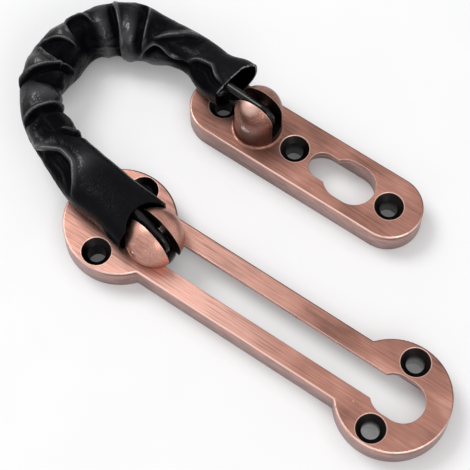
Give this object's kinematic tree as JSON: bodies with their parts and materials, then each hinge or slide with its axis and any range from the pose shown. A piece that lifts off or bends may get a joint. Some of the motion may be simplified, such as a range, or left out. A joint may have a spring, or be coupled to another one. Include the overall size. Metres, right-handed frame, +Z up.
{
  "type": "door chain",
  "caption": "Door security chain: slotted track plate with sliding ball button, anchor plate with a parking keyhole, and a wire-link chain in a black leather sleeve.",
  "frame": {"origin": "centre of the track plate's four-screw pattern, on the plates' back plane", "axes": "+X along the track towards its keyhole end, +Y towards the anchor plate, +Z up from the back faces"},
  "size_m": [0.1476, 0.0714, 0.0232],
  "materials": {
    "antique_copper": "brushed antique copper plate on cast zinc, worn bright at the edges",
    "pin_metal": "plated steel pin",
    "washer_steel": "plain steel washer",
    "black_wire": "black glossy plated wire",
    "black_leather": "black grained leather, gathered"
  },
  "bodies": {
    "chain_middle": {"link_05": "black_wire", "sleeve": "black_leather"},
    "button": {"button": "antique_copper", "button_pin": "pin_metal"},
    "foot": {"foot_washer": "washer_steel"},
    "track": {"track_plate": "antique_copper"},
    "anchor": {"anchor_plate": "antique_copper", "anchor_pin": "pin_metal"},
    "link_01": {"link_01": "black_wire"},
    "link_02": {"link_02": "black_wire"},
    "link_03": {"link_03": "black_wire"},
    "link_04": {"link_04": "black_wire"},
    "link_06": {"link_06": "black_wire"},
    "link_07": {"link_07": "black_wire"},
    "link_08": {"link_08": "black_wire"},
    "link_09": {"link_09": "black_wire"}
  },
  "joints": [
    {"name": "link_04_turn", "type": "hinge", "parent": "chain_middle", "child": "link_04", "pos_m": [-0.08341, 0.02051, 0.0121], "axis": [0, 0, -1], "range_deg": [-6, 93], "deforming": ["sleeve"]},
    {"name": "link_03_turn", "type": "hinge", "parent": "link_04", "child": "link_03", "pos_m": [-0.0754, 0.01027, 0.0137], "axis": [0, 0, 1], "range_deg": [-84, 12], "deforming": ["sleeve"]},
    {"name": "link_02_turn", "type": "hinge", "parent": "link_03", "child": "link_02", "pos_m": [-0.05782, 0.00455, 0.0143], "axis": [0, 0, -1], "range_deg": [-15, 61], "deforming": ["sleeve"]},
    {"name": "link_01_turn", "type": "hinge", "parent": "link_02", "child": "link_01", "pos_m": [-0.04482, 0.00296, 0.0141], "axis": [0, 0, 1], "range_deg": [-45, 18], "deforming": ["sleeve"]},
    {"name": "link_06_turn", "type": "hinge", "parent": "chain_middle", "child": "link_06", "pos_m": [-0.0818, 0.03882, 0.01], "axis": [0, 0, 1], "range_deg": [-3, 97], "deforming": ["sleeve"]},
    {"name": "link_07_turn", "type": "hinge", "parent": "link_06", "child": "link_07", "pos_m": [-0.07148, 0.04689, 0.0098], "axis": [0, 0, -1], "range_deg": [-76, 10], "deforming": ["sleeve"]},
    {"name": "link_08_turn", "type": "hinge", "parent": "link_07", "child": "link_08", "pos_m": [-0.05344, 0.05072, 0.0112], "axis": [0, 0, 1], "range_deg": [-11, 89], "deforming": ["sleeve"]},
    {"name": "link_09_turn", "type": "hinge", "parent": "link_08", "child": "link_09", "pos_m": [-0.042, 0.04489, 0.0138], "axis": [0, 0, -1], "range_deg": [-30, 15], "deforming": ["sleeve"]},
    {"name": "button_swing", "type": "hinge", "parent": "link_01", "child": "button", "pos_m": [-0.0309, 0, 0.0125], "axis": [-0.2079, -0.9781, 0], "range_deg": [0, 95]},
    {"name": "button_swivel", "type": "hinge", "parent": "button", "child": "foot", "pos_m": [-0.0309, 0, 0.0076], "axis": [0, 0, -1], "range_deg": [-18, 180]},
    {"name": "button_slide", "type": "slide", "parent": "foot", "child": "track", "axis": [-1, 0, 0], "range_m": [0, 0.07445]},
    {"name": "anchor_swing", "type": "hinge", "parent": "link_09", "child": "anchor", "pos_m": [-0.02803, 0.04318, 0.0162], "axis": [-0.1219, -0.9925, 0], "range_deg": [0, 95]}
  ]
}
